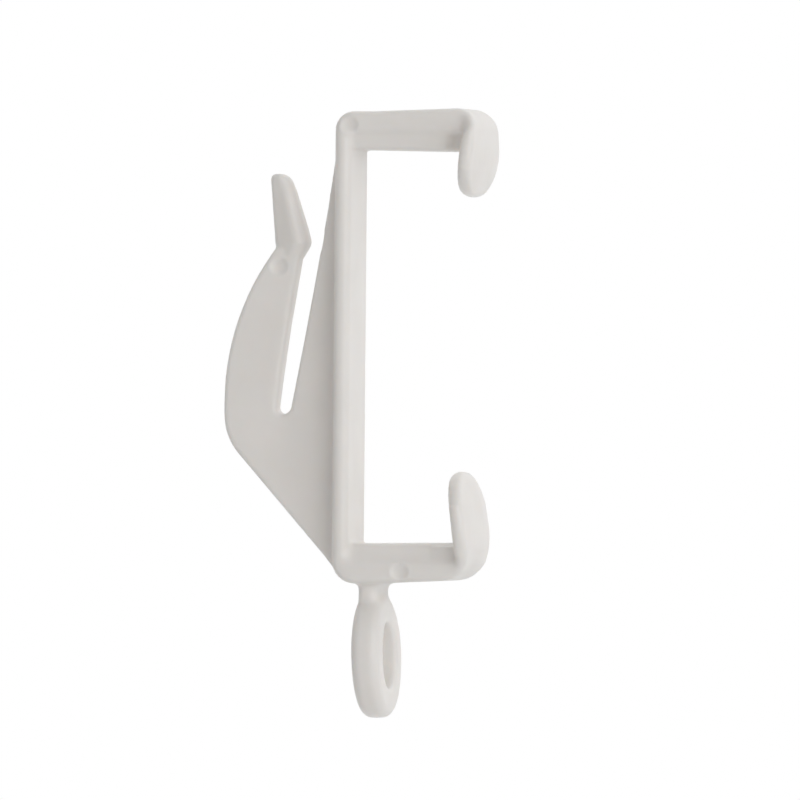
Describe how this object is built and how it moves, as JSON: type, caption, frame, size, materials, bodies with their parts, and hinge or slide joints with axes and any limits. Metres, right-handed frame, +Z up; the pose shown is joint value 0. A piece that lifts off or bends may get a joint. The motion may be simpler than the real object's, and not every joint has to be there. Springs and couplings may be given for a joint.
{
  "type": "curtain track glider",
  "caption": "One-piece plastic glider: a C-shaped frame that slides along a flat curtain track, with a barbed hook for the heading tape and an eye below.",
  "frame": {"origin": "middle of the track channel, on the inner face of the spine, midway between the two running ribs", "axes": "+X from the room side to the wall side, square to the face of the track; +Y along the track; +Z up"},
  "size_m": [0.0188, 0.01, 0.0426],
  "materials": {
    "white_plastic": "smooth off-white moulding, soft satin sheen"
  },
  "bodies": {
    "root": {"glider_body": "white_plastic"}
  },
  "joints": []
}
